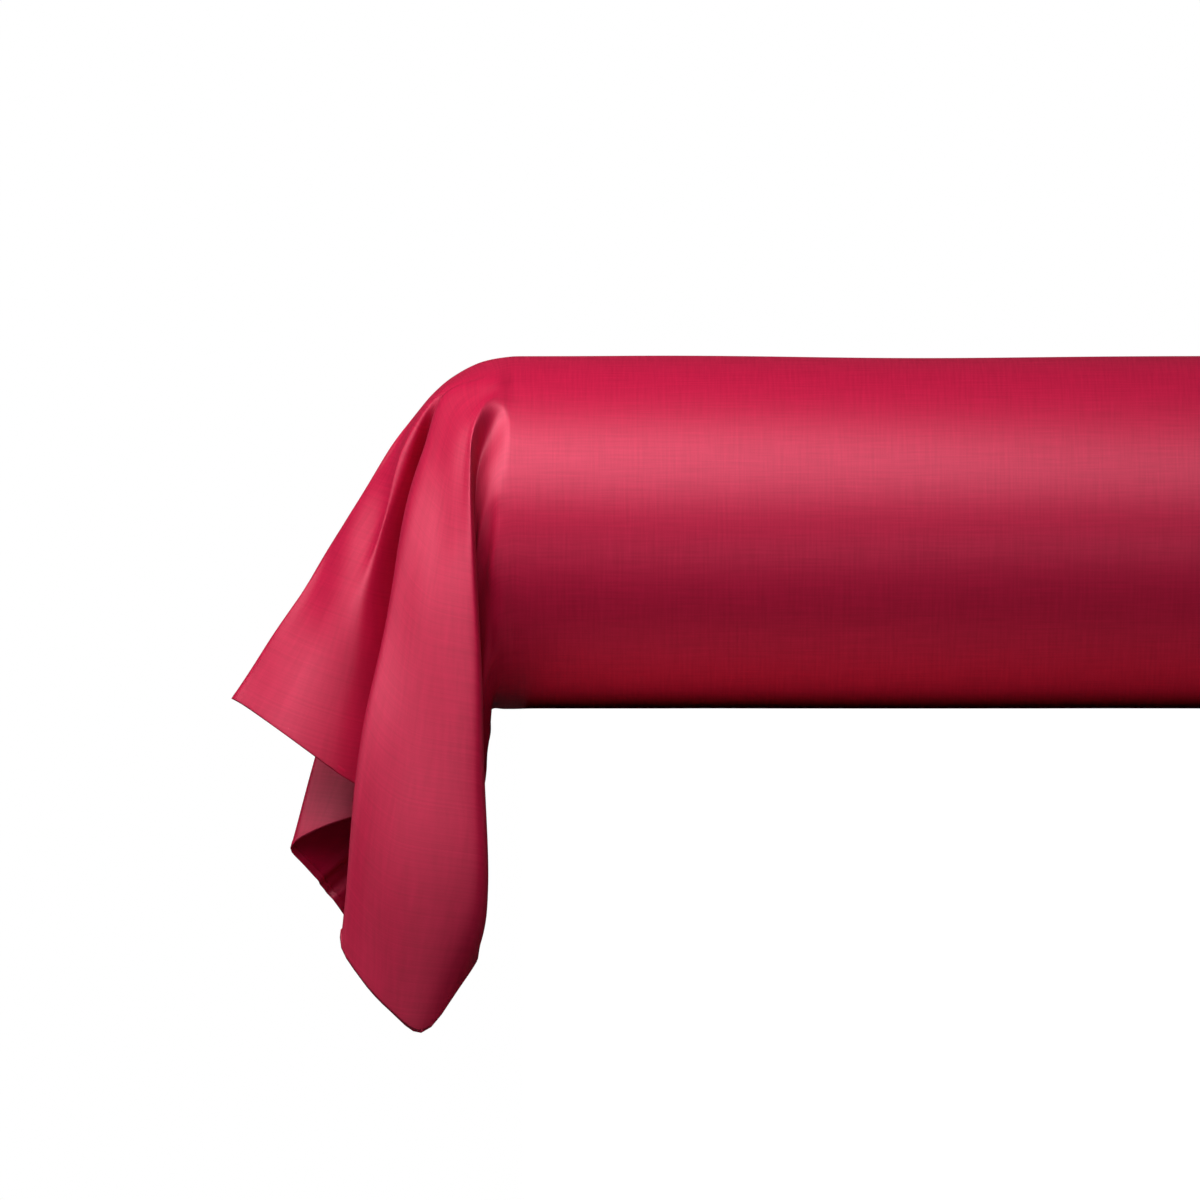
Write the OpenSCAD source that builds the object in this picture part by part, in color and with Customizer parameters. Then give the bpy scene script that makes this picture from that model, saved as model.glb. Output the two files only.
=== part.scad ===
// Bolster cushion in a loose tubular case.
// A long round cushion lies on a ledge. Its satin case is longer than the
// cushion and open at both ends, so each free end folds over the cushion's
// shoulder and hangs past the ledge in soft pleats. Millimetres, +Z up.

/* [Case] */
// Width of the empty case laid flat, half of its girth
case_width = 430; // [410:5:450]
// Cloth between the cushion's shoulder and the hem, each side
loose_length = 355; // [340:5:370]
// Thickness of the case cloth, heavier than the real satin
cloth_t = 1; // [0.8:0.1:1.2]
// Depth of the turned hem round each mouth
hem_depth = 6; // [4:1:12]

/* [Cushion] */
// Length of the case's round body from shoulder to shoulder
body_length = 1216; // [900:4:1400]
// Roundness of the cushion's shoulders
shoulder_r = 78; // [74:1:80]
// Crown of the cushion's flat end
end_crown = 3; // [1:0.5:5]
// Thickness of the ticking
ticking_t = 0.8; // [0.6:0.1:1.2]
// Radius of the round end piece of the ticking
end_piece_r = 54; // [48:1:54]

/* [Hidden] */
// Play between the ticking and the case, and between the filling and the ticking
case_play = 0.9;
filling_play = 0.3;
// Space left between two lengths of the same cloth
cloth_break = 0.8;
// How deep the weight of the cushion presses the case flat on the ledge
ledge_press = 0.5;
// Thickness of the hem's doubled cloth, as a multiple of the cloth
hem_layers = 2;
// The cushion starts to round off this far inside the case's shoulder
cushion_setback = 24;
// Radius of the sewn seam's bead, and its play on both sides
seam_r = 1.6;
seam_play = 0.3;

case_r = case_width / PI;
axis_z = case_r - ledge_press;
shoulder_x = body_length / 2;
// The folded ends take over from the round body this far inside the shoulder,
// in hundredths of the case's radius, like every place in the fold lines
join_at = 11;
join_x = shoulder_x - join_at * case_r / 100;

ticking_r = case_r - cloth_t - case_play;
filling_r = ticking_r - ticking_t - filling_play;
cushion_x = shoulder_x - cushion_setback;
seam_at = end_piece_r + seam_play + seam_r;

SATIN = [0.70, 0.10, 0.24];
SATIN_FOLD = [0.64, 0.08, 0.21];
SATIN_HEM = [0.56, 0.06, 0.18];
TICKING = [0.90, 0.87, 0.80];
THREAD = [0.82, 0.78, 0.70];
FIBRE = [0.96, 0.96, 0.94];

// The hanging end is drawn by its fold lines, each running from the shoulder to
// the hem. A line gives where it starts round the drum, in degrees from the top
// toward the front, and then eight places down to the hem. A place is how far
// outward from the shoulder, how high above the underside and how far forward
// of the middle it lies, in hundredths of the case's radius, so that the folds
// keep their shape on a thicker or thinner bolster.

// The upper crease runs straight out to the outer corner of the mouth
ridge = [0, [21, 196, 0], [42, 183, 0], [64, 158, 0], [84, 127, 0],
    [103, 97, 0], [122, 66, 0], [141, 36, 0], [159, 5, 0]];
ridge_front = [6, [20, 195, 16], [42, 182, 11], [62, 156, 8], [81, 124, 7],
    [99, 94, 7], [118, 63, 7], [137, 33, 7], [155, 3, 7]];
// The outer panel hangs as a flat sail under the crease
panel = [12, [18, 193, 30], [42, 181, 21], [59, 153, 19], [74, 115, 20],
    [90, 78, 22], [105, 46, 25], [118, 14, 28], [130, -14, 30]];
panel_edge = [17, [16, 191, 40], [42, 179, 29], [60, 148, 25], [73, 109, 27],
    [83, 66, 30], [88, 30, 31], [93, -4, 31], [98, -37, 32]];
// A deep valley turns the panel's edge back under the front pleat
valley = [21, [15, 189, 47], [40, 176, 34], [51, 140, 11], [58, 95, 7],
    [58, 47, 7], [53, 2, 8], [46, -41, 9], [38, -79, 9]];
// The front pleat bellies forward of the cushion and ends in a point
pleat_left = [25, [13, 187, 53], [39, 179, 46], [52, 144, 62], [62, 98, 79],
    [74, 47, 89], [84, -9, 95], [93, -75, 95], [98, -127, 86]];
pleat_turn = [30, [11, 184, 59], [33, 170, 65], [45, 135, 82], [54, 90, 95],
    [64, 39, 102], [73, -18, 107], [82, -83, 105], [86, -150, 95]];
pleat_crown = [36, [9, 180, 63], [28, 163, 78], [37, 129, 95], [43, 84, 106],
    [49, 33, 111], [56, -24, 114], [65, -92, 112], [69, -168, 99]];
pleat_inner = [40, [11, 177, 67], [24, 162, 83], [29, 127, 102], [31, 84, 114],
    [30, 30, 119], [30, -29, 121], [32, -92, 117], [52, -180, 98]];
// Its inner edge hangs plumb beside the end of the ledge
plumb_edge = [43, [12, 174, 71], [22, 158, 88], [24, 129, 105], [22, 87, 116],
    [19, 30, 120], [18, -29, 119], [18, -108, 112], [31, -155, 92]];
plumb_back = [50, [6, 167, 74], [18, 147, 79], [22, 119, 89], [22, 80, 93],
    [21, 27, 89], [20, -33, 79], [19, -108, 73], [20, -139, 66]];
// Behind that edge the cloth is tucked against the cushion's end
front_shoulder = [70, [4, 134, 94], [10, 131, 94], [18, 106, 95], [23, 67, 85],
    [26, 19, 71], [28, -33, 55], [28, -100, 46], [28, -142, 44]];
front_wall = [90, [4, 99, 100], [10, 98, 99], [16, 90, 94], [25, 54, 78],
    [31, 11, 59], [33, -32, 43], [34, -95, 38], [43, -146, 38]];
front_gusset = [130, [5, 35, 77], [9, 33, 76], [13, 25, 71], [17, 7, 60],
    [19, -14, 43], [22, -45, 26], [31, -90, 18], [60, -147, 10]];
// The lower crease drops from the underside to the lower corner
underside = [180, [6, 0, 0], [13, 0, 0], [16, -4, 0], [17, -16, 0],
    [19, -30, -2], [22, -54, -8], [38, -91, -20], [76, -143, -36]];
back_gusset = [230, [5, 35, -77], [9, 33, -76], [13, 25, -71], [17, 7, -61],
    [19, -13, -54], [25, -45, -52], [46, -82, -54], [88, -132, -56]];
back_wall = [270, [4, 99, -100], [10, 98, -99], [16, 90, -95], [24, 58, -82],
    [31, 15, -69], [37, -30, -66], [56, -70, -64], [101, -114, -60]];
back_shoulder = [293, [4, 139, -93], [10, 136, -93], [18, 112, -95], [22, 74, -91],
    [29, 24, -85], [36, -31, -78], [61, -63, -67], [108, -105, -56]];
// The back pleat is a softer twin of the front one, turned outward
back_edge = [317, [7, 174, -70], [22, 157, -84], [25, 129, -94], [24, 87, -97],
    [27, 33, -95], [37, -15, -85], [67, -52, -66], [115, -96, -49]];
back_pleat = [328, [10, 180, -61], [30, 163, -70], [41, 129, -79], [51, 84, -83],
    [59, 39, -80], [74, -1, -71], [97, -36, -56], [122, -87, -41]];
back_turn = [338, [13, 187, -50], [37, 176, -48], [53, 144, -50], [66, 98, -56],
    [80, 56, -59], [92, 22, -57], [112, -18, -47], [128, -77, -34]];
back_return = [345, [15, 191, -37], [40, 180, -33], [54, 144, -33], [63, 95, -35],
    [71, 50, -38], [80, 10, -38], [96, -29, -35], [112, -67, -27]];
back_valley = [350, [18, 193, -28], [41, 181, -25], [52, 141, -15], [55, 95, -14],
    [57, 53, -15], [57, 16, -16], [59, -18, -16], [63, -50, -14]];
// The outer panel's back layer runs up to the crease again
fin_edge = [354, [19, 195, -19], [41, 182, -17], [59, 152, -12], [71, 112, -11],
    [81, 73, -11], [89, 39, -11], [96, 5, -11], [102, -34, -11]];
fin_back = [357, [20, 196, -9], [42, 183, -8], [62, 156, -7], [80, 123, -7],
    [98, 90, -7], [115, 57, -7], [130, 26, -7], [143, -4, -7]];

FOLDS = [ridge, ridge_front, panel, panel_edge, valley, pleat_left, pleat_turn,
    pleat_crown, pleat_inner, plumb_edge, plumb_back, front_shoulder,
    front_wall, front_gusset, underside, back_gusset, back_wall, back_shoulder,
    back_edge, back_pleat, back_turn, back_return, back_valley, fin_edge, fin_back];

// Places on a fold line, and how many of them keep to the cushion, of which the
// first ones lie round the drum
PLACES = 8;
FIXED_PLACES = 3;
DRUM_PLACES = 2;
// The fold lines were laid out with this much cloth to hang, as hundredths
LAID_OUT = 259;
stretch = 100 * loose_length / (LAID_OUT * case_r);
// A fold's thickness is let out no further than one part in this
SHARPEST = 0.6;
// Widest step round the drum in degrees, and the gaps kept whole or halved
STEP_ANGLE = 10;
WHOLE_GAP = 3;
HALVED_GAP = 8;
// Steps round the turned pieces, round the seam's bead, along the cushion's
// shoulder and across its domed end
TURNED_STEPS = 120;
BEAD_STEPS = 32;
SHOULDER_STEPS = 12;
DOME_STEPS = 8;

// ---- a smooth curve through given places

function knot(a, b) = max(sqrt(norm(b - a)), 0.001);

function blend(a, b, ta, tb, t) = ((tb - t) * a + (t - ta) * b) / (tb - ta);

// The curve runs through p1 at s = 0 and through p2 at s = 1
function curve(p0, p1, p2, p3, s) =
    let (t1 = knot(p0, p1),
        t2 = t1 + knot(p1, p2),
        t3 = t2 + knot(p2, p3),
        t = t1 + s * (t2 - t1),
        a = blend(p0, p1, 0, t1, t),
        b = blend(p1, p2, t1, t2, t),
        c = blend(p2, p3, t2, t3, t))
    blend(blend(a, b, 0, t2, t), blend(b, c, t1, t3, t), t1, t2, t);

// ---- places on the drum and on the fold lines, outward, forward and up

function on_drum(angle, inward) =
    [-inward * case_r / 100, case_r * sin(angle), case_r * (1 + cos(angle))];

function place(p) = [p[0], p[2], p[1]] * case_r / 100;

// The hang below the shoulder lengthens or shortens with the loose cloth
function hung(fold, k) =
    k <= FIXED_PLACES ? place(fold[k])
    : place(fold[FIXED_PLACES]) + (place(fold[k]) - place(fold[FIXED_PLACES])) * stretch;

// The place on a fold line where a given length is left before the hem
function before_hem(fold, length) =
    let (last = hung(fold, PLACES),
        above = hung(fold, PLACES - 1))
    curve(hung(fold, PLACES - 2), above, last, 2 * last - above,
        1 - length / norm(last - above));

// Round the drum a point is its way outward, its radius and its arc
function rolled(p) =
    let (up = p[2] - case_r)
    [p[0], norm([p[1], up]), atan2(p[1], up)];

// The same angle, counted so that it lies within half a turn of another
function beside(angle, other) = other + (angle - other + 540) % 360 - 180;

function as_arc(p, other) =
    [p[0], p[1], beside(p[2], other) * case_r * PI / 180];

function unrolled(p) =
    let (angle = p[2] * 180 / (case_r * PI))
    [p[0], p[1] * sin(angle), case_r + p[1] * cos(angle)];

// ---- the folded sheet as rows of points, from the drum to the hem

function gap_after(i) =
    let (next = i + 1 < len(FOLDS) ? FOLDS[i + 1][0] : 360)
    next - FOLDS[i][0];

function steps_after(i) =
    gap_after(i) <= WHOLE_GAP ? 1
    : gap_after(i) < HALVED_GAP ? 2
    : ceil(gap_after(i) / STEP_ANGLE);

// One row is measured down every fold line, then filled in round the loop
function row_ring(row) =
    [for (i = [0 : len(row) - 1])
        let (n = len(row))
        for (s = [0 : steps_after(i) - 1])
            curve(row[(i + n - 1) % n], row[i], row[(i + 1) % n], row[(i + 2) % n],
                s / steps_after(i))];

// Beside the shoulder it is filled in along the drum's round
function shoulder_ring(row) =
    [for (i = [0 : len(row) - 1])
        let (n = len(row),
            near = [for (k = [n - 1 : n + 2]) rolled(row[(i + k) % n])],
            arcs = [for (p = near) as_arc(p, near[1][2])])
        for (s = [0 : steps_after(i) - 1])
            unrolled(curve(arcs[0], arcs[1], arcs[2], arcs[3], s / steps_after(i)))];

function drum_ring(inward) =
    [for (i = [0 : len(FOLDS) - 1])
        for (s = [0 : steps_after(i) - 1])
            on_drum(FOLDS[i][0] + gap_after(i) * s / steps_after(i), inward)];

function ring_at(k) =
    let (row = [for (fold = FOLDS) hung(fold, k)])
    k <= DRUM_PLACES ? shoulder_ring(row) : row_ring(row);

function ring_before_hem(length) =
    row_ring([for (fold = FOLDS) before_hem(fold, length)]);

// ---- a closed skin of even thickness from those rows

function down_at(rows, i, j) =
    rows[min(i + 1, len(rows) - 1)][j] - rows[max(i - 1, 0)][j];

function unit(v) = v / norm(v);

// Square to the cloth on both sides of a fold line, and longer where it folds
// sharply, so that the skin keeps its thickness round the fold
function out_of(rows, i, j) =
    let (n = len(rows[0]),
        here = rows[i][j],
        down = down_at(rows, i, j),
        before = unit(cross(here - rows[i][(j + n - 1) % n], down)),
        after = unit(cross(rows[i][(j + 1) % n] - here, down)),
        square = unit(before + after))
    square / max(square * before, SHARPEST);

// Nothing over the ledge reaches below it
function above_ledge(p, least) =
    p[0] <= 0 ? [p[0], p[1], max(p[2], ledge_press + least)] : p;

// Left end of the object: outward is -X, forward is -Y
function on_left(p) = [-shoulder_x - p[0], -p[1], p[2] - ledge_press];

// Rows before the first one only show which way the cloth comes down
module skin(rows, thick, first = 0) {
    n = len(rows[0]);
    m = len(rows) - first;
    outer = [for (i = [first : len(rows) - 1]) for (j = [0 : n - 1])
        on_left(above_ledge(rows[i][j], 0))];
    inner = [for (i = [first : len(rows) - 1]) for (j = [0 : n - 1])
        on_left(above_ledge(rows[i][j] - thick * out_of(rows, i, j), thick / 2))];
    outer_faces = [for (i = [0 : m - 2]) for (j = [0 : n - 1])
        let (a = i * n + j, b = i * n + (j + 1) % n)
        each [[a, b, b + n], [a, b + n, a + n]]];
    inner_faces = [for (f = outer_faces) [f[2], f[1], f[0]] + [m * n, m * n, m * n]];
    drum_edge = [for (j = [0 : n - 1])
        let (a = j, b = (j + 1) % n)
        each [[a, b + m * n, b], [a, a + m * n, b + m * n]]];
    hem_edge = [for (j = [0 : n - 1])
        let (a = (m - 1) * n + j, b = (m - 1) * n + (j + 1) % n)
        each [[a, b, b + m * n], [a, b + m * n, a + m * n]]];
    polyhedron(concat(outer, inner),
        concat(outer_faces, inner_faces, drum_edge, hem_edge));
}

module hanging_end() {
    rows = concat([drum_ring(join_at), drum_ring(0)],
        [for (k = [1 : PLACES - 1]) ring_at(k)],
        [ring_before_hem(hem_depth + cloth_break)]);
    skin(rows, cloth_t);
}

module hem_band() {
    rows = [ring_at(PLACES - 1), ring_before_hem(hem_depth), ring_at(PLACES)];
    skin(rows, cloth_t * hem_layers, 1);
}

// ---- turned pieces, drawn as radius against distance from the middle

module turned() {
    translate([0, 0, axis_z])
        rotate([0, 90, 0])
            rotate_extrude($fn = TURNED_STEPS)
                children();
}

// The shoulder's arc from the drum in to a radius, for a layer lying this deep,
// and on across the flat end where the arc stops short of that radius
function shoulder_arc(layer_r, depth, to_r) =
    let (arc_r = shoulder_r - depth,
        middle = layer_r - arc_r,
        last = acos(max(min((to_r - middle) / arc_r, 1), 0)),
        arc = [for (s = [0 : SHOULDER_STEPS])
            let (a = last * s / SHOULDER_STEPS)
            [middle + arc_r * cos(a), cushion_x + arc_r * sin(a)]])
    middle > to_r ? concat(arc, [[to_r, cushion_x + arc_r]]) : arc;

function reversed(list) = [for (i = [len(list) - 1 : -1 : 0]) list[i]];

function far_side(list) = [for (p = reversed(list)) [p[0], -p[1]]];

edge_r = seam_at + seam_r + seam_play;
end_x = cushion_x + shoulder_r;
filling_depth = ticking_t + filling_play;

module fibre_filling() {
    arc = shoulder_arc(filling_r, filling_depth, 0);
    color(FIBRE)
        turned()
            polygon(concat(far_side(arc), arc));
}

module ticking_tube() {
    outer = shoulder_arc(ticking_r, 0, edge_r);
    inner = shoulder_arc(ticking_r - ticking_t, ticking_t, edge_r);
    color(TICKING)
        turned()
            polygon(concat(far_side(outer), outer, reversed(inner),
                reversed(far_side(inner))));
}

// A shallow dome whose edge lies on the cushion's flat end
module end_piece() {
    dome = [for (s = [0 : DOME_STEPS])
        let (r = s / DOME_STEPS)
        [end_piece_r * r, end_x + end_crown * (1 - r * r)]];
    turned()
        polygon(concat(dome, [[end_piece_r, end_x - ticking_t], [0, end_x - ticking_t]]));
}

module ticking_end_right() {
    color(TICKING)
        end_piece();
}

module ticking_end_left() {
    color(TICKING)
        mirror([1, 0, 0])
            end_piece();
}

// The round end is sewn in with a raised seam
module end_seam() {
    turned()
        translate([seam_at, end_x + seam_r - ticking_t])
            circle(r = seam_r, $fn = BEAD_STEPS);
}

module ticking_seam_right() {
    color(THREAD)
        end_seam();
}

module ticking_seam_left() {
    color(THREAD)
        mirror([1, 0, 0])
            end_seam();
}

module case_body() {
    reach = join_x - cloth_break;
    color(SATIN)
        difference() {
            turned()
                translate([case_r - cloth_t, -reach])
                    square([cloth_t, 2 * reach]);
            translate([-shoulder_x, -case_r, -case_r])
                cube([2 * shoulder_x, 2 * case_r, case_r]);
        }
}

module case_end_left() {
    color(SATIN_FOLD)
        hanging_end();
}

module case_end_right() {
    color(SATIN_FOLD)
        mirror([1, 0, 0])
            hanging_end();
}

module case_hem_left() {
    color(SATIN_HEM)
        hem_band();
}

module case_hem_right() {
    color(SATIN_HEM)
        mirror([1, 0, 0])
            hem_band();
}

fibre_filling();
ticking_tube();
ticking_end_left();
ticking_end_right();
ticking_seam_left();
ticking_seam_right();
case_body();
case_end_left();
case_end_right();
case_hem_left();
case_hem_right();
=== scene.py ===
# %% [markdown]
# A bolster cushion lies on a ledge in a long satin case. The case is a tube,
# open at both ends and longer than the cushion, so each loose end folds over
# the cushion's shoulder and hangs down in soft pleats. This lesson builds the
# cloth from its fold lines, puts the cushion inside it, and lights it plainly.
# Everything is in metres, in the frame of the CAD model: X along the bolster,
# Z up, and Z = 0 where the bolster touches the ledge.

# %% Open the frame
import bpy
import math
import numpy as np
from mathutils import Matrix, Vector


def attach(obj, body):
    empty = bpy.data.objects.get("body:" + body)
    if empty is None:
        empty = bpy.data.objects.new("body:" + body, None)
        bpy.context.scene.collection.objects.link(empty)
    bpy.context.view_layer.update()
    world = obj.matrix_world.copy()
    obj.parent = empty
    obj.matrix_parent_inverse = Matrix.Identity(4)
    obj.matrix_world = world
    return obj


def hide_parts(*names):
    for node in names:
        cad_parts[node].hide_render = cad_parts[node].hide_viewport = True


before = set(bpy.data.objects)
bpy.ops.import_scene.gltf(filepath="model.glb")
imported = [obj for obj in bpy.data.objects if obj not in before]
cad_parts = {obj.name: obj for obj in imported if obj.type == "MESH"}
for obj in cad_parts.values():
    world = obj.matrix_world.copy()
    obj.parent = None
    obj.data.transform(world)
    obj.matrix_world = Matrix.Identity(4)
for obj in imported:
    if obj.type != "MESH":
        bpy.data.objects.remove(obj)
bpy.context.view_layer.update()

# %% [markdown]
# The picture is square-on and nearly without perspective: the bolster's top and
# bottom edges run parallel across it. A very long lens from far away gives that
# look and still works as an ordinary camera when it is moved for other views.
# The photograph was measured in its own pixels, so the frame's width and centre
# come from the bolster's diameter there.

# %% The camera
CASE_GIRTH = 0.860
CASE_R = CASE_GIRTH / (2 * math.pi)
LEDGE_PRESS = 0.0005
AXIS_Z = CASE_R - LEDGE_PRESS
SHOULDER_X = 0.608
LOOSE_LENGTH = 0.355

BOLSTER_PX = 353
METRES_PER_PX = 2 * CASE_R / BOLSTER_PX
FRAME_PX = 1200
SHOULDER_PX = 515
UNDERSIDE_PX = 708.5
FRAME_W = FRAME_PX * METRES_PER_PX
CENTRE_X = -SHOULDER_X + (FRAME_PX / 2 - SHOULDER_PX) * METRES_PER_PX
CENTRE_Z = (UNDERSIDE_PX - FRAME_PX / 2) * METRES_PER_PX

LENS_MM = 400
SENSOR_MM = 36
CAMERA_BACK = FRAME_W * LENS_MM / SENSOR_MM

lens = bpy.data.cameras.new("camera")
lens.lens = LENS_MM
lens.sensor_width = SENSOR_MM
lens.clip_end = 100
camera = bpy.data.objects.new("camera", lens)
camera.location = (CENTRE_X, -CAMERA_BACK, CENTRE_Z)
camera.rotation_euler = (math.radians(90), 0, 0)
bpy.context.collection.objects.link(camera)
bpy.context.scene.camera = camera
print("frame %.3f m wide from %.2f m" % (FRAME_W, CAMERA_BACK))

# %% [markdown]
# A small kit of helpers comes next. Every piece here is a grid of points, rows
# by columns, closed round its columns like a tube, so one function can turn any
# of them into a mesh. It also lays the cloth's own coordinates on the mesh: how
# far round the girth and how far down the cloth each point lies, in metres.
# Weave and threads then follow the folds.

# %% Meshes from grids of points
def tube_faces(rows, columns):
    faces = []
    for i in range(rows - 1):
        for j in range(columns):
            k = (j + 1) % columns
            faces.append((i * columns + j, i * columns + k,
                          (i + 1) * columns + k, (i + 1) * columns + j))
    return faces


def lay_cloth_map(mesh, grid_uv, columns, girth):
    layer = mesh.uv_layers.new(name="cloth")
    for face in mesh.polygons:
        wraps = {v % columns for v in face.vertices} == {0, columns - 1}
        for corner in face.loop_indices:
            v = mesh.loops[corner].vertex_index
            round_it, along_it = grid_uv[v // columns][v % columns]
            if wraps and v % columns == 0:
                round_it = girth
            layer.data[corner].uv = (round_it, along_it)


def tube_piece(name, grid, grid_uv, girth):
    rows, columns, _ = grid.shape
    mesh = bpy.data.meshes.new(name)
    mesh.from_pydata(grid.reshape(-1, 3).tolist(), [], tube_faces(rows, columns))
    lay_cloth_map(mesh, grid_uv, columns, girth)
    for face in mesh.polygons:
        face.use_smooth = True
    piece = bpy.data.objects.new(name, mesh)
    bpy.context.collection.objects.link(piece)
    print(name, rows, "x", columns, "points")
    return piece


def paint(piece, material):
    piece.data.materials.clear()
    piece.data.materials.append(material)

# %% [markdown]
# The cloth is a dyed cotton sateen. Most of its warp lies on top, so it has a
# broad, soft shine that turns the crimson pink, and a faint line structure from
# threads of slightly uneven thickness. It is built from noise that is stretched
# along one thread direction and squeezed across it, once for the warp and once
# for the weft, which moves the colour, the roughness and a very shallow bump
# together. The inside of the case shows the weft, which hardly shines, so the
# reverse is a second finish with the same threads and a quarter of the shine.
# Its colour ramp is also a step darker, which is painted shade for the inside
# of the case.

# %% The crimson sateen
def node(tree, kind, **settings):
    made = tree.nodes.new(kind)
    for key, value in settings.items():
        if hasattr(made, key):
            setattr(made, key, value)
        else:
            made.inputs[key.replace("_", " ")].default_value = value
    return made


def new_material(name):
    material = bpy.data.materials.new(name)
    material.use_nodes = True
    tree = material.node_tree
    return material, tree, tree.nodes["Principled BSDF"]


def threads(tree, coordinates, across, along, turned=False):
    """Noise drawn out into threads: fine across them and long along them."""
    stretch = tree.nodes.new("ShaderNodeMapping")
    stretch.inputs["Scale"].default_value = (
        (along, across, 1) if turned else (across, along, 1))
    tree.links.new(coordinates, stretch.inputs["Vector"])
    grain = node(tree, "ShaderNodeTexNoise", Scale=1.0, Detail=2.0, Roughness=0.6)
    tree.links.new(stretch.outputs["Vector"], grain.inputs["Vector"])
    return grain.outputs["Fac"]


def mean_of(tree, a, b):
    total = node(tree, "ShaderNodeMath", operation="ADD")
    tree.links.new(a, total.inputs[0])
    tree.links.new(b, total.inputs[1])
    half = node(tree, "ShaderNodeMath", operation="MULTIPLY")
    half.inputs[1].default_value = 0.5
    tree.links.new(total.outputs[0], half.inputs[0])
    return half.outputs[0]


def ramp(tree, value, stops):
    made = tree.nodes.new("ShaderNodeValToRGB")
    bands = made.color_ramp.elements
    while len(bands) < len(stops):
        bands.new(0.5)
    for band, (place, colour) in zip(bands, stops):
        band.position = place
        band.color = (*colour, 1)
    tree.links.new(value, made.inputs["Fac"])
    return made.outputs["Color"]


def ranged(tree, value, low, high, to_low, to_high):
    made = tree.nodes.new("ShaderNodeMapRange")
    for key, number in (("From Min", low), ("From Max", high),
                        ("To Min", to_low), ("To Max", to_high)):
        made.inputs[key].default_value = number
    tree.links.new(value, made.inputs["Value"])
    return made.outputs["Result"]


CRIMSON = (0.46, 0.0046, 0.043)
CRIMSON_DEEP = (0.40, 0.0031, 0.036)
CRIMSON_BRIGHT = (0.52, 0.0068, 0.051)
SHINE_TINT = (1.0, 0.37, 0.47)
SHEEN_TINT = (1.0, 0.35, 0.5)
SATEEN_IOR = 1.55
REVERSE_SHINE = 0.25


def sateen(name, deep, middle, bright, shine=1.0):
    material, tree, cloth = new_material(name)
    cloth_map = tree.nodes.new("ShaderNodeUVMap")
    cloth_map.uv_map = "cloth"
    where = cloth_map.outputs["UV"]
    warp = threads(tree, where, across=560, along=22)
    weft = threads(tree, where, across=500, along=24, turned=True)
    weave = mean_of(tree, warp, weft)
    tree.links.new(
        ramp(tree, weave, [(0.34, deep), (0.5, middle), (0.66, bright)]),
        cloth.inputs["Base Color"])
    tree.links.new(ranged(tree, weave, 0.35, 0.65, 0.55, 0.49), cloth.inputs["Roughness"])
    relief = node(tree, "ShaderNodeBump", Strength=0.35, Distance=0.0002)
    tree.links.new(weave, relief.inputs["Height"])
    tree.links.new(relief.outputs["Normal"], cloth.inputs["Normal"])
    cloth.inputs["IOR"].default_value = SATEEN_IOR
    cloth.inputs["Specular IOR Level"].default_value = shine
    cloth.inputs["Specular Tint"].default_value = (*SHINE_TINT, 1)
    # The floats lie across the length, so the shine spreads along the length
    along_the_cloth = tree.nodes.new("ShaderNodeTangent")
    along_the_cloth.direction_type = "UV_MAP"
    along_the_cloth.uv_map = "cloth"
    tree.links.new(along_the_cloth.outputs[0], cloth.inputs["Tangent"])
    cloth.inputs["Anisotropic"].default_value = 0.6
    cloth.inputs["Anisotropic Rotation"].default_value = 0.25
    cloth.inputs["Sheen Weight"].default_value = 0.015
    cloth.inputs["Sheen Roughness"].default_value = 0.4
    cloth.inputs["Sheen Tint"].default_value = (*SHEEN_TINT, 1)
    return material


SATEEN = sateen("crimson_sateen", CRIMSON_DEEP, CRIMSON, CRIMSON_BRIGHT)
# The reverse's darker colour ramp is painted shade for the inside of the case; its lower
# shine is the weft face's own.
REVERSE_WITH_PAINTED_SHADE = sateen("sateen_reverse_painted_shade", CRIMSON_DEEP, CRIMSON_DEEP, CRIMSON, REVERSE_SHINE)
print("made", SATEEN.name, REVERSE_WITH_PAINTED_SHADE.name)

# %% [markdown]
# Inside the case the cushion wears a plain unbleached cotton ticking, woven
# tight to hold the fibre in. The same two sets of drawn-out noise make it, with
# threads as fine as its own and hardly any shine. The filling takes a coarser
# one of them. The seams are spun thread, which is a ribbed twist seen close, so
# slanted bands draw it: a bump, and painted light and shade in its colour,
# light on the ribs and dark between them.

# %% The ticking, the filling and the threads
def plain_cloth(name, dark, light, thread_pitch, roughness):
    material, tree, cloth = new_material(name)
    cloth_map = tree.nodes.new("ShaderNodeUVMap")
    cloth_map.uv_map = "cloth"
    where = cloth_map.outputs["UV"]
    warp = threads(tree, where, across=1 / thread_pitch, along=40)
    weft = threads(tree, where, across=1 / thread_pitch, along=40, turned=True)
    weave = mean_of(tree, warp, weft)
    tree.links.new(ramp(tree, weave, [(0.35, dark), (0.65, light)]),
                   cloth.inputs["Base Color"])
    tree.links.new(ranged(tree, weave, 0.3, 0.7, roughness + 0.05, roughness - 0.05),
                   cloth.inputs["Roughness"])
    relief = node(tree, "ShaderNodeBump", Strength=0.5, Distance=0.0003)
    tree.links.new(weave, relief.inputs["Height"])
    tree.links.new(relief.outputs["Normal"], cloth.inputs["Normal"])
    cloth.inputs["Sheen Weight"].default_value = 0.15
    return material


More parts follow.
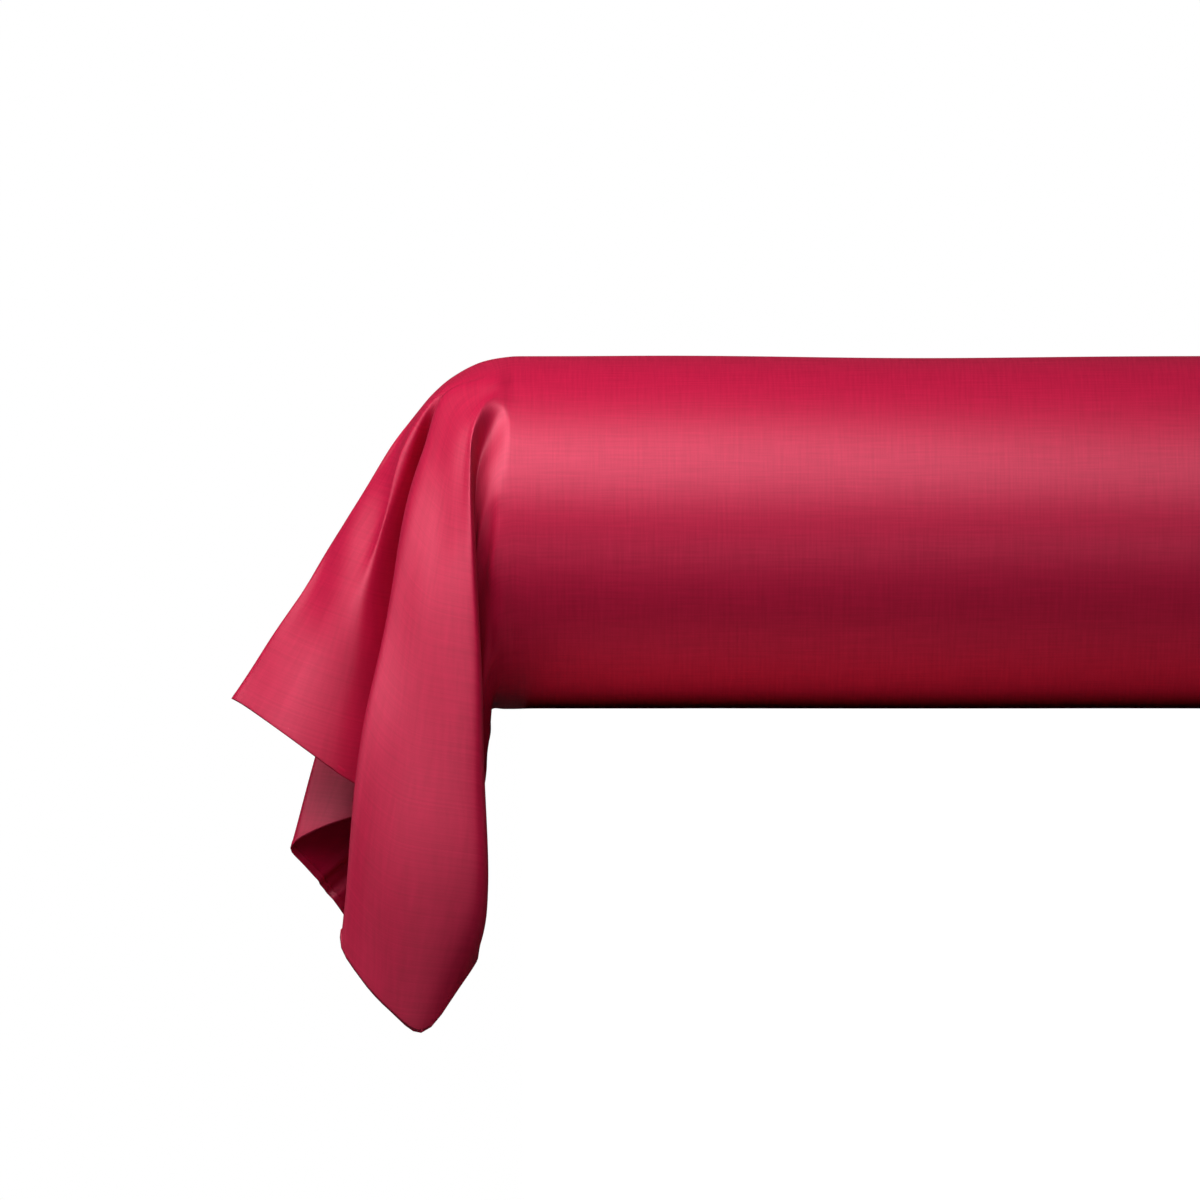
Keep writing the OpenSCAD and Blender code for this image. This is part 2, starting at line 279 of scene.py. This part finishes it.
def spun_thread(name, dark, light, twist_scale):
    material, tree, thread = new_material(name)
    cloth_map = tree.nodes.new("ShaderNodeUVMap")
    cloth_map.uv_map = "cloth"
    twist = node(tree, "ShaderNodeTexWave", wave_type="BANDS",
                 bands_direction="DIAGONAL", Scale=twist_scale, Distortion=1.0)
    tree.links.new(cloth_map.outputs["UV"], twist.inputs["Vector"])
    # The bands' dark and light colours are painted shade and painted light on the twist's
    # ribs.
    tree.links.new(ramp(tree, twist.outputs["Fac"], [(0.2, dark), (0.8, light)]),
                   thread.inputs["Base Color"])
    tree.links.new(ranged(tree, twist.outputs["Fac"], 0, 1, 0.7, 0.5),
                   thread.inputs["Roughness"])
    relief = node(tree, "ShaderNodeBump", Strength=0.5, Distance=0.0002)
    tree.links.new(twist.outputs["Fac"], relief.inputs["Height"])
    tree.links.new(relief.outputs["Normal"], thread.inputs["Normal"])
    return material


TICKING = plain_cloth("cotton_ticking", (0.66, 0.60, 0.48), (0.80, 0.75, 0.64),
                      thread_pitch=0.0007, roughness=0.85)
FIBRE = plain_cloth("fibre_filling", (0.80, 0.80, 0.78), (0.92, 0.92, 0.90),
                    thread_pitch=0.0030, roughness=0.95)
# The seam thread's two colours are painted shade and painted light on its ribs.
SEAM_THREAD = spun_thread("seam_thread", (0.55, 0.50, 0.40), (0.74, 0.69, 0.58), 900)
print("made", TICKING.name, FIBRE.name, SEAM_THREAD.name)

# %% [markdown]
# The hanging end is the heart of this object. A cloth simulation could make it,
# but it would settle in folds of its own, and these folds are one certain drape.
# So the end is drawn as a pattern maker would drape it: one fold line at a time.
# Each line starts at an angle round the drum, in degrees from the top toward the
# front, and runs through eight places down to the hem. A place is how far outward
# from the shoulder, how high above the underside and how far forward it lies, in
# hundredths of the bolster's radius. The same lines make the CAD solids, so both
# fit. They follow the photograph and not a straight tube: the upper crease is as
# long as the loose end, the front pleat is half as long again, and the mouth is
# wider than the girth.

# %% The fold lines
FOLD_LINES = [
    # The upper crease runs straight out to the outer corner of the mouth
    ("ridge", 0, [(21, 196, 0), (42, 183, 0), (64, 158, 0), (84, 127, 0),
        (103, 97, 0), (122, 66, 0), (141, 36, 0), (159, 5, 0)]),
    ("ridge_front", 6, [(20, 195, 16), (42, 182, 11), (62, 156, 8), (81, 124, 7),
        (99, 94, 7), (118, 63, 7), (137, 33, 7), (155, 3, 7)]),
    # The outer panel hangs as a flat sail under the crease
    ("panel", 12, [(18, 193, 30), (42, 181, 21), (59, 153, 19), (74, 115, 20),
        (90, 78, 22), (105, 46, 25), (118, 14, 28), (130, -14, 30)]),
    ("panel_edge", 17, [(16, 191, 40), (42, 179, 29), (60, 148, 25), (73, 109, 27),
        (83, 66, 30), (88, 30, 31), (93, -4, 31), (98, -37, 32)]),
    # A deep valley turns the panel's edge back under the front pleat
    ("valley", 21, [(15, 189, 47), (40, 176, 34), (51, 140, 11), (58, 95, 7),
        (58, 47, 7), (53, 2, 8), (46, -41, 9), (38, -79, 9)]),
    # The front pleat bellies forward of the cushion and ends in a point
    ("pleat_left", 25, [(13, 187, 53), (39, 179, 46), (52, 144, 62), (62, 98, 79),
        (74, 47, 89), (84, -9, 95), (93, -75, 95), (98, -127, 86)]),
    ("pleat_turn", 30, [(11, 184, 59), (33, 170, 65), (45, 135, 82), (54, 90, 95),
        (64, 39, 102), (73, -18, 107), (82, -83, 105), (86, -150, 95)]),
    ("pleat_crown", 36, [(9, 180, 63), (28, 163, 78), (37, 129, 95), (43, 84, 106),
        (49, 33, 111), (56, -24, 114), (65, -92, 112), (69, -168, 99)]),
    ("pleat_inner", 40, [(11, 177, 67), (24, 162, 83), (29, 127, 102), (31, 84, 114),
        (30, 30, 119), (30, -29, 121), (32, -92, 117), (52, -180, 98)]),
    # Its inner edge hangs plumb beside the end of the ledge
    ("plumb_edge", 43, [(12, 174, 71), (22, 158, 88), (24, 129, 105), (22, 87, 116),
        (19, 30, 120), (18, -29, 119), (18, -108, 112), (31, -155, 92)]),
    ("plumb_back", 50, [(6, 167, 74), (18, 147, 79), (22, 119, 89), (22, 80, 93),
        (21, 27, 89), (20, -33, 79), (19, -108, 73), (20, -139, 66)]),
    # Behind that edge the cloth is tucked against the cushion's end
    ("front_shoulder", 70, [(4, 134, 94), (10, 131, 94), (18, 106, 95), (23, 67, 85),
        (26, 19, 71), (28, -33, 55), (28, -100, 46), (28, -142, 44)]),
    ("front_wall", 90, [(4, 99, 100), (10, 98, 99), (16, 90, 94), (25, 54, 78),
        (31, 11, 59), (33, -32, 43), (34, -95, 38), (43, -146, 38)]),
    ("front_gusset", 130, [(5, 35, 77), (9, 33, 76), (13, 25, 71), (17, 7, 60),
        (19, -14, 43), (22, -45, 26), (31, -90, 18), (60, -147, 10)]),
    # The lower crease drops from the underside to the lower corner
    ("underside", 180, [(6, 0, 0), (13, 0, 0), (16, -4, 0), (17, -16, 0),
        (19, -30, -2), (22, -54, -8), (38, -91, -20), (76, -143, -36)]),
    ("back_gusset", 230, [(5, 35, -77), (9, 33, -76), (13, 25, -71), (17, 7, -61),
        (19, -13, -54), (25, -45, -52), (46, -82, -54), (88, -132, -56)]),
    ("back_wall", 270, [(4, 99, -100), (10, 98, -99), (16, 90, -95), (24, 58, -82),
        (31, 15, -69), (37, -30, -66), (56, -70, -64), (101, -114, -60)]),
    ("back_shoulder", 293, [(4, 139, -93), (10, 136, -93), (18, 112, -95), (22, 74, -91),
        (29, 24, -85), (36, -31, -78), (61, -63, -67), (108, -105, -56)]),
    # The back pleat is a softer twin of the front one, turned outward
    ("back_edge", 317, [(7, 174, -70), (22, 157, -84), (25, 129, -94), (24, 87, -97),
        (27, 33, -95), (37, -15, -85), (67, -52, -66), (115, -96, -49)]),
    ("back_pleat", 328, [(10, 180, -61), (30, 163, -70), (41, 129, -79), (51, 84, -83),
        (59, 39, -80), (74, -1, -71), (97, -36, -56), (122, -87, -41)]),
    ("back_turn", 338, [(13, 187, -50), (37, 176, -48), (53, 144, -50), (66, 98, -56),
        (80, 56, -59), (92, 22, -57), (112, -18, -47), (128, -77, -34)]),
    ("back_return", 345, [(15, 191, -37), (40, 180, -33), (54, 144, -33), (63, 95, -35),
        (71, 50, -38), (80, 10, -38), (96, -29, -35), (112, -67, -27)]),
    ("back_valley", 350, [(18, 193, -28), (41, 181, -25), (52, 141, -15), (55, 95, -14),
        (57, 53, -15), (57, 16, -16), (59, -18, -16), (63, -50, -14)]),
    # The outer panel's back layer runs up to the crease again
    ("fin_edge", 354, [(19, 195, -19), (41, 182, -17), (59, 152, -12), (71, 112, -11),
        (81, 73, -11), (89, 39, -11), (96, 5, -11), (102, -34, -11)]),
    ("fin_back", 357, [(20, 196, -9), (42, 183, -8), (62, 156, -7), (80, 123, -7),
        (98, 90, -7), (115, 57, -7), (130, 26, -7), (143, -4, -7)]),
]
HUNDREDTH = CASE_R / 100
angles = np.array([line[1] for line in FOLD_LINES], float)
places = np.array([line[2] for line in FOLD_LINES], float)
# Order each place as outward, forward, up, in metres
places = places[:, :, [0, 2, 1]] * HUNDREDTH
PLACES = places.shape[1]
print(len(FOLD_LINES), "fold lines of", PLACES, "places")

# %% [markdown]
# Cloth bends in smooth curves, so a curve is passed through the places of every
# line, and then another one round the loop at each height. The curve used is
# the centripetal kind, which passes through every point and never swings out
# into a loop where points lie close together, as they do at a sharp fold.
# Near the shoulder the cloth still lies on a round drum, so there the curve
# round the loop is worked out in angles and radii, which keeps it round.

# %% Curves along and round the cloth
SHORTEST_KNOT = 1e-4


def knot(a, b):
    distance = np.linalg.norm(b - a, axis=-1, keepdims=True)
    return np.maximum(np.sqrt(distance), SHORTEST_KNOT)


def blend(a, b, ta, tb, t):
    return ((tb - t) * a + (t - ta) * b) / (tb - ta)


def curve(p0, p1, p2, p3, s):
    t1 = knot(p0, p1)
    t2 = t1 + knot(p1, p2)
    t3 = t2 + knot(p2, p3)
    t = t1 + s * (t2 - t1)
    a = blend(p0, p1, 0, t1, t)
    b = blend(p1, p2, t1, t2, t)
    c = blend(p2, p3, t2, t3, t)
    return blend(blend(a, b, 0, t2, t), blend(b, c, t1, t3, t), t1, t2, t)


def on_drum(degrees, outward):
    a = np.radians(degrees)
    return np.stack([np.full_like(a, outward), CASE_R * np.sin(a),
                     CASE_R + CASE_R * np.cos(a)], axis=-1)


JOIN_INWARD = 11 * HUNDREDTH


def station(k):
    """All fold lines at place k; 0 is the shoulder and -1 lies on the drum."""
    if k < 0:
        return on_drum(angles, -JOIN_INWARD)
    if k == 0:
        return on_drum(angles, 0.0)
    if k <= PLACES:
        return places[:, k - 1]
    return 2 * places[:, PLACES - 1] - places[:, PLACES - 2]


def down_the_folds(u):
    k = min(int(u), PLACES - 1)
    return curve(station(k - 1), station(k), station(k + 1), station(k + 2), u - k)


FINEST_STEPS = 4
DEGREES_A_STEP = 3
gaps = np.diff(np.append(angles, 360))
steps = np.maximum(FINEST_STEPS, np.ceil(gaps / DEGREES_A_STEP)).astype(int)
column_line = np.repeat(np.arange(len(angles)), steps)
column_part = np.concatenate([np.arange(n) / n for n in steps])
column_angle = angles[column_line] + gaps[column_line] * column_part
COLUMNS = len(column_line)


def neighbours(points):
    i = column_line
    n = len(points)
    return points[(i - 1) % n], points[i], points[(i + 1) % n], points[(i + 2) % n]


def round_straight(points):
    return curve(*neighbours(points), column_part[:, None])


def round_the_drum(points):
    up = points[:, 2] - CASE_R
    rolled = np.stack([points[:, 0], np.hypot(points[:, 1], up),
                       np.degrees(np.arctan2(points[:, 1], up))], axis=-1)
    four = [p.copy() for p in neighbours(rolled)]
    home = four[1][:, 2].copy()
    for p in four:
        p[:, 2] = (home + (p[:, 2] - home + 540) % 360 - 180) * math.pi / 180 * CASE_R
    c = curve(*four, column_part[:, None])
    a = c[:, 2] / CASE_R
    return np.stack([c[:, 0], c[:, 1] * np.sin(a), CASE_R + c[:, 1] * np.cos(a)], axis=-1)


def smooth_step(x, low, high):
    t = np.clip((x - low) / (high - low), 0, 1)
    return t * t * (3 - 2 * t)


ROUND_UNTIL_PLACE = 2
STRAIGHT_FROM_PLACE = 3


def ring(u):
    points = down_the_folds(u)
    straight = smooth_step(u, ROUND_UNTIL_PLACE, STRAIGHT_FROM_PLACE)
    return straight * round_straight(points) + (1 - straight) * round_the_drum(points)


# %% [markdown]
# Cloth that hangs free is never quite smooth: faint creases run down it. They
# are a sum of shallow waves with seeded lengths and leans, pushed square to the
# cloth, and they fade out toward the shoulder, where the cloth is drawn tight.

# %% The hanging end
CREASE_COUNT = 14
CREASE_DEPTH = 0.0005
CREASE_UNIT_LENGTH = 0.05
SMOOTH_UNTIL_PLACE = 1.0
CREASED_FROM_PLACE = 3.5
rng = np.random.default_rng(5)
crease_length = rng.uniform(0.03, 0.10, CREASE_COUNT)
crease_lean = rng.normal(0.0, 0.45, CREASE_COUNT)
crease_start = rng.uniform(0, 2 * math.pi, CREASE_COUNT)


def creases(across, along):
    """Soft creases that run roughly down the hanging cloth."""
    depth = np.zeros(np.broadcast(across, along).shape)
    for length, lean, start in zip(crease_length, crease_lean, crease_start):
        run = across * math.cos(lean) + along * math.sin(lean)
        depth += np.sin(2 * math.pi * run / length + start) * length / CREASE_UNIT_LENGTH
    return CREASE_DEPTH * depth


def outward_of(grid):
    """The direction square to the cloth, on its outer side."""
    down_it = np.gradient(grid, axis=0)
    round_grid = np.roll(grid, -1, axis=1) - np.roll(grid, 1, axis=1)
    square = np.cross(down_it, round_grid)
    return square / np.linalg.norm(square, axis=2, keepdims=True)


ROWS_A_PLACE = 8
hang_rows = np.linspace(0, PLACES, PLACES * ROWS_A_PLACE + 1)
hang = np.array([ring(u) for u in hang_rows])
hang_across = column_angle[None, :] / 360 * CASE_GIRTH
hang_along = np.linspace(0, LOOSE_LENGTH, len(hang_rows))[:, None]
loose = smooth_step(hang_rows, SMOOTH_UNTIL_PLACE, CREASED_FROM_PLACE)[:, None]
hang += (loose * creases(hang_across, hang_along))[..., None] * outward_of(hang)
print("hanging end", hang.shape)

# %% [markdown]
# The whole case is one length of cloth: the left hanging end, the round body and
# the right end, which is the left one's mirror image because the photograph ends
# before it. Its flat coordinates are measured along the cloth itself. On the
# body the cloth isn't drawn tight: it has long shallow slacks about a millimetre
# deep. A thickness and one step of smoothing finish the cloth, and the inner
# face of that thickness takes the reverse of the sateen.

# %% The case in one piece
def left_end(grid):
    return np.stack([-SHOULDER_X - grid[..., 0], -grid[..., 1],
                     grid[..., 2] - LEDGE_PRESS], axis=-1)


def right_end(grid):
    return left_end(grid) * np.array([-1, 1, 1])


SLACK = 0.0006
BODY_ROW_M = 0.012
body_count = int(2 * SHOULDER_X / BODY_ROW_M)
body_x = np.linspace(-SHOULDER_X, SHOULDER_X, body_count + 1)


# Each wave's share, its turns along the body and round it, and its start
SLACK_WAVES = [(1.0, 7.3, 2, 0.4), (0.7, 13.1, -3, 1.9), (0.5, 21.7, 1, 5.1),
               (0.4, 4.1, 5, 0.0)]
SLACK_FADE = 0.12


def slack_waves(x, degrees):
    a = np.radians(degrees)
    waves = sum(share * np.sin(along * x + round_it * a + start)
                for share, along, round_it, start in SLACK_WAVES)
    ease = smooth_step(SHOULDER_X - np.abs(x), 0.0, SLACK_FADE)
    return SLACK * ease * waves


def body_row(x):
    radius = CASE_R + slack_waves(x, column_angle)
    a = np.radians(column_angle)
    row = np.stack([np.full(COLUMNS, x), -radius * np.sin(a),
                    AXIS_Z + radius * np.cos(a)], axis=-1)
    row[:, 2] = np.maximum(row[:, 2], 0.0)
    return row


def lengths_down(grid):
    steps_down = np.linalg.norm(np.diff(grid, axis=0), axis=2)
    return np.concatenate([np.zeros((1, grid.shape[1])), np.cumsum(steps_down, axis=0)])


body = np.array([body_row(x) for x in body_x])
left = left_end(hang)
right = right_end(hang)
case_grid = np.concatenate([left[::-1], body[1:-1], right])

round_it = np.tile(column_angle / 360 * CASE_GIRTH, (len(case_grid), 1))
down = lengths_down(hang)
along_body = np.repeat(body_x[1:-1, None], COLUMNS, axis=1)
along_it = np.concatenate([-SHOULDER_X - down[::-1], along_body, SHOULDER_X + down])
case_uv = np.stack([round_it, along_it], axis=-1)

CLOTH_T = 0.0005
case = tube_piece("bolster_case", case_grid, case_uv, CASE_GIRTH)
skin = case.modifiers.new("cloth_thickness", "SOLIDIFY")
skin.thickness = CLOTH_T
skin.offset = -1
fine = case.modifiers.new("soft_surface", "SUBSURF")
fine.levels = 1
fine.render_levels = 1
paint(case, SATEEN)
# The inner face takes the reverse: less shine, and a darker colour that is painted shade.
case.data.materials.append(REVERSE_WITH_PAINTED_SHADE)
skin.material_offset = 1
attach(case, "root")
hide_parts("case_body", "case_end_left", "case_end_right")

# %% [markdown]
# Each mouth has a narrow hem, turned to the inside. It is a second, narrow band
# of the same cloth that lies against the inner face and meets the edge, so the
# rim reads a little thicker than the cloth, as it does on the real case.

# %% The hems
HEM_DEPTH = 0.006
HEM_GAP = 0.0009
HEM_ROWS = 5


def before_hem(length):
    """The ring of cloth that lies this far above the mouth."""
    last = lengths_down(hang[-ROWS_A_PLACE - 1:])
    above = last[-1] - last
    rows = hang[-ROWS_A_PLACE - 1:]
    out = np.empty((COLUMNS, 3))
    for j in range(COLUMNS):
        for axis in range(3):
            out[j, axis] = np.interp(length, above[::-1, j], rows[::-1, j, axis])
    return out


def hem_grid():
    rows = np.array([before_hem(d) for d in np.linspace(HEM_DEPTH, 0, HEM_ROWS)])
    return rows - HEM_GAP * outward_of(rows)


def make_hem(name, side, node_name):
    grid = side(hem_grid())
    u = np.tile(column_angle / 360 * CASE_GIRTH, (len(grid), 1))
    v = np.tile(np.linspace(0, HEM_DEPTH, len(grid))[:, None], (1, COLUMNS))
    hem = tube_piece(name, grid, np.stack([u, v], axis=-1), CASE_GIRTH)
    thick = hem.modifiers.new("cloth_thickness", "SOLIDIFY")
    thick.thickness = CLOTH_T
    thick.offset = -1
    paint(hem, SATEEN)
    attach(hem, "root")
    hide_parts(node_name)
    return hem


hem_left = make_hem("hem_left", left_end, "case_hem_left")
hem_right = make_hem("hem_right", right_end, "case_hem_right")

# %% [markdown]
# The cushion inside is a filled ticking: a long tube panel and two round end
# pieces, sewn together with a raised seam. The case hides nearly all of it, but
# a look into the mouth shows its end. Turned profiles give the shapes, and the
# gathers where the panel is drawn in to the round end are waves in the radius.

# %% The cushion's profile
CLOTH_SOLID_T = 0.001
CASE_PLAY = 0.0009
TICKING_R = CASE_R - CLOTH_SOLID_T - CASE_PLAY
TICKING_T = 0.0008
CUSHION_SHOULDER_R = 0.078
CUSHION_SETBACK = 0.024
CUSHION_X = SHOULDER_X - CUSHION_SETBACK
CUSHION_END_X = CUSHION_X + CUSHION_SHOULDER_R
PIECE_GAP = 0.0003
END_PIECE_R = 0.054
SEAM_R = 0.0016
SEAM_AT = END_PIECE_R + PIECE_GAP + SEAM_R
PANEL_EDGE_R = SEAM_AT + SEAM_R + PIECE_GAP
END_CROWN = 0.003
ROUND_COLUMNS = 144
CENTRE_R = 1e-5
# How many gathers lie round the end, how deep a share they have and their start
GATHER_WAVES = [(24, 0.6, 0), (37, 0.4, 1)]


def turned_grid(profile, gathers=0.0):
    """Radius and distance pairs turned round the bolster's axis."""
    a = np.linspace(0, 2 * math.pi, ROUND_COLUMNS, endpoint=False)
    rows = []
    for r, x in profile:
        drawn = smooth_step(abs(x), CUSHION_X, CUSHION_END_X)
        waves = sum(share * np.sin(count * a + start)
                    for count, share, start in GATHER_WAVES)
        ripple = gathers * drawn * (waves - 1)
        radius = max(r, CENTRE_R) + ripple * (1 if r > PANEL_EDGE_R else 0)
        rows.append(np.stack([np.full_like(a, x), -radius * np.sin(a),
                              AXIS_Z + radius * np.cos(a)], axis=-1))
    return np.array(rows)


def turned_uv(grid):
    a = np.tile(np.linspace(0, 1, grid.shape[1], endpoint=False) * CASE_GIRTH,
                (grid.shape[0], 1))
    return np.stack([a, lengths_down(grid)], axis=-1)


def turned_piece(name, profile, material, node_names, gathers=0.0):
    grid = turned_grid(profile, gathers)
    piece = tube_piece(name, grid, turned_uv(grid), CASE_GIRTH)
    paint(piece, material)
    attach(piece, "root")
    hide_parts(*node_names)
    return piece


def shoulder_profile(depth, to_r, count=16):
    arc_r = CUSHION_SHOULDER_R - depth
    middle = TICKING_R - depth - arc_r
    last = math.acos(max(min((to_r - middle) / arc_r, 1), 0))
    return [(middle + arc_r * math.cos(last * s / count),
             CUSHION_X + arc_r * math.sin(last * s / count)) for s in range(count + 1)]


# %% [markdown]
# The ticking's wall and the filling are the same profile taken both ways from
# the middle, one a little inside the other. The end pieces are shallow domes,
# and each seam is a bead with a twist in it, laid round the dome's rim. The
# ticking and the filling are soft and give.

# %% The ticking, its seams and the filling
def both_ways(arc, middle_rows=24):
    far = [(r, -x) for r, x in reversed(arc)]
    between = np.linspace(-CUSHION_X, CUSHION_X, middle_rows)[1:-1]
    return far + [(arc[0][0], x) for x in between] + arc


ticking_tube = turned_piece(
    "ticking_tube", both_ways(shoulder_profile(0.0, PANEL_EDGE_R)),
    TICKING, ["ticking_tube"], gathers=0.0006)
tick = ticking_tube.modifiers.new("ticking_thickness", "SOLIDIFY")
tick.thickness = TICKING_T / 2
tick.offset = -1

FILLING_DEPTH = TICKING_T + PIECE_GAP
filling_arc = shoulder_profile(FILLING_DEPTH, 0.0)
filling_arc += [(filling_arc[-1][0] * f, CUSHION_END_X - FILLING_DEPTH)
                for f in (0.75, 0.5, 0.25, 0.0)]
filling = turned_piece(
    "fibre_filling", both_ways(filling_arc), FIBRE, ["fibre_filling"])


def end_profile(sign):
    dome = [(END_PIECE_R * r, sign * (CUSHION_END_X + END_CROWN * (1 - r * r)))
            for r in np.linspace(0, 1, 9)]
    rim = [(END_PIECE_R, sign * (CUSHION_END_X - TICKING_T))]
    back = [(END_PIECE_R * r, sign * (CUSHION_END_X - TICKING_T))
            for r in (0.66, 0.33, 0.0)]
    return dome + rim + back


SEAM_ROWS = 240
SEAM_COLUMNS = 12
SEAM_TWISTS = 60
TWIST_DEPTH = 0.08
SEAM_ROW_M = 0.0015
SEAM_COLUMN_M = 0.0008


def seam_grid(sign):
    """A twisted seam bead round the end piece."""
    a = np.linspace(0, 2 * math.pi, SEAM_ROWS, endpoint=False)
    b = np.linspace(0, 2 * math.pi, SEAM_COLUMNS, endpoint=False)
    a, b = np.meshgrid(a, b, indexing="ij")
    bead = SEAM_R * (1 - TWIST_DEPTH + TWIST_DEPTH * np.cos(SEAM_TWISTS * a + 2 * b))
    r = SEAM_AT + bead * np.cos(b)
    x = CUSHION_END_X + SEAM_R - TICKING_T + bead * np.sin(b)
    return np.stack([sign * x, -r * np.sin(a), AXIS_Z + r * np.cos(a)], axis=-1)


for side, sign in (("left", -1), ("right", 1)):
    turned_piece("ticking_end_" + side, end_profile(sign), TICKING,
                 ["ticking_end_" + side])
    grid = seam_grid(sign)
    grid = np.concatenate([grid, grid[:1]])
    turns = np.tile(np.arange(len(grid))[:, None] * SEAM_ROW_M, (1, SEAM_COLUMNS))
    beads = np.tile(np.arange(SEAM_COLUMNS) * SEAM_COLUMN_M, (len(grid), 1))
    seam = tube_piece("ticking_seam_" + side, grid, np.stack([beads, turns], axis=-1),
                      SEAM_COLUMNS * SEAM_COLUMN_M)
    paint(seam, SEAM_THREAD)
    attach(seam, "root")
    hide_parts("ticking_seam_" + side)

# %% [markdown]
# The case is cut from one sheet: 86 cm of girth by 192 cm of length, draped
# over the cushion, with its hems on it.

# %% [markdown]
# In the photograph the ledge was cut away and everything round the bolster is
# white. A floor and a ledge stand in for the studio. Their material shows the
# camera a clean white, yet to every other ray it is a matt surface that bounces
# a little light: grey from the floor, and rosy from the ledge. The rosy colour
# stands for light that went to and fro between the cloth and the ledge, and
# keeps the dark underside as deep a crimson as the rest.

# %% The studio
def white_stage(name, shown, bounce):
    material, tree, matt = new_material(name)
    matt.inputs["Base Color"].default_value = (*bounce, 1)
    matt.inputs["Roughness"].default_value = 0.9
    glow = tree.nodes.new("ShaderNodeEmission")
    glow.inputs["Color"].default_value = (1, 1, 1, 1)
    eye = tree.nodes.new("ShaderNodeLightPath")
    seen = node(tree, "ShaderNodeMath", operation="MULTIPLY")
    seen.inputs[1].default_value = shown
    tree.links.new(eye.outputs["Is Camera Ray"], seen.inputs[0])
    tree.links.new(seen.outputs[0], glow.inputs["Strength"])
    both = tree.nodes.new("ShaderNodeAddShader")
    tree.links.new(matt.outputs[0], both.inputs[0])
    tree.links.new(glow.outputs[0], both.inputs[1])
    tree.links.new(both.outputs[0], tree.nodes["Material Output"].inputs["Surface"])
    return material


def box_piece(name, low, high, material):
    (x0, y0, z0), (x1, y1, z1) = low, high
    corners = [(x, y, z) for z in (z0, z1) for x, y in
               ((x0, y0), (x1, y0), (x1, y1), (x0, y1))]
    faces = [(0, 3, 2, 1), (4, 5, 6, 7), (0, 1, 5, 4),
             (1, 2, 6, 5), (2, 3, 7, 6), (3, 0, 4, 7)]
    mesh = bpy.data.meshes.new(name)
    mesh.from_pydata(corners, [], faces)
    made = bpy.data.objects.new(name, mesh)
    made.data.materials.append(material)
    bpy.context.collection.objects.link(made)
    return made


FLOOR_Z = -0.75
FLOOR_HALF = 6
FLOOR_T = 0.02
LEDGE_HALF_LENGTH = 0.60
LEDGE_HALF_DEPTH = 0.15
LEDGE_TOP = -0.0003
box_piece("floor", (-FLOOR_HALF, -FLOOR_HALF, FLOOR_Z - FLOOR_T),
          (FLOOR_HALF, FLOOR_HALF, FLOOR_Z),
          white_stage("white_floor", shown=0.85, bounce=(0.1, 0.1, 0.1)))
box_piece("ledge", (-LEDGE_HALF_LENGTH, -LEDGE_HALF_DEPTH, FLOOR_Z),
          (LEDGE_HALF_LENGTH, LEDGE_HALF_DEPTH, LEDGE_TOP),
          white_stage("white_ledge", shown=1.0, bounce=(0.64, 0.18, 0.25)))


# %% [markdown]
# Four softboxes light the satin, and wide ones, because a shine shows the shape
# of its lamp. The key is high over the left shoulder, a little in front of it,
# and a wide fill stands high in front: together they put the band of shine on
# the round body. The side one, far to the left, lights the folds that face that
# way, and a weak low one in front stands for what a white table throws back.

# %% The softboxes
def softbox(name, place, aim, width, height, watts):
    light = bpy.data.lights.new(name, "AREA")
    light.shape = "RECTANGLE"
    light.size = width
    light.size_y = height
    light.energy = watts
    lamp = bpy.data.objects.new(name, light)
    lamp.location = place
    toward = Vector(aim) - Vector(place)
    lamp.rotation_euler = toward.to_track_quat("-Z", "Y").to_euler()
    bpy.context.collection.objects.link(lamp)
    print(name, "softbox of", watts, "W")


softbox("key", (-1.15, -0.85, 1.2), (-0.66, 0, 0.1), 1.1, 1.1, 19)
softbox("side", (-2.2, -0.62, 1.9), (-0.7, 0, 0.0), 1.8, 1.4, 28)
softbox("fill", (-0.6, -2.3, 1.9), (-0.3, 0, 0.05), 2.4, 1.8, 26)
softbox("low", (-0.3, -2.4, -0.25), (-0.3, 0, 0.02), 2.6, 0.3, 6)

# %% [markdown]
# The world behind it all is pure white to the camera alone. To every other ray
# it is only a faint light, so the background never washes out the crimson.

# %% The white world
WORLD_LIGHT = 0.05
world = bpy.data.worlds.new("studio")
bpy.context.scene.world = world
world.use_nodes = True
sky = world.node_tree.nodes["Background"]
sky.inputs["Color"].default_value = (1, 1, 1, 1)
path = world.node_tree.nodes.new("ShaderNodeLightPath")
strength = world.node_tree.nodes.new("ShaderNodeMapRange")
strength.inputs["To Min"].default_value = WORLD_LIGHT
strength.inputs["To Max"].default_value = 1.0
world.node_tree.links.new(path.outputs["Is Camera Ray"], strength.inputs["Value"])
world.node_tree.links.new(strength.outputs["Result"], sky.inputs["Strength"])
bpy.context.scene.view_settings.view_transform = "Standard"
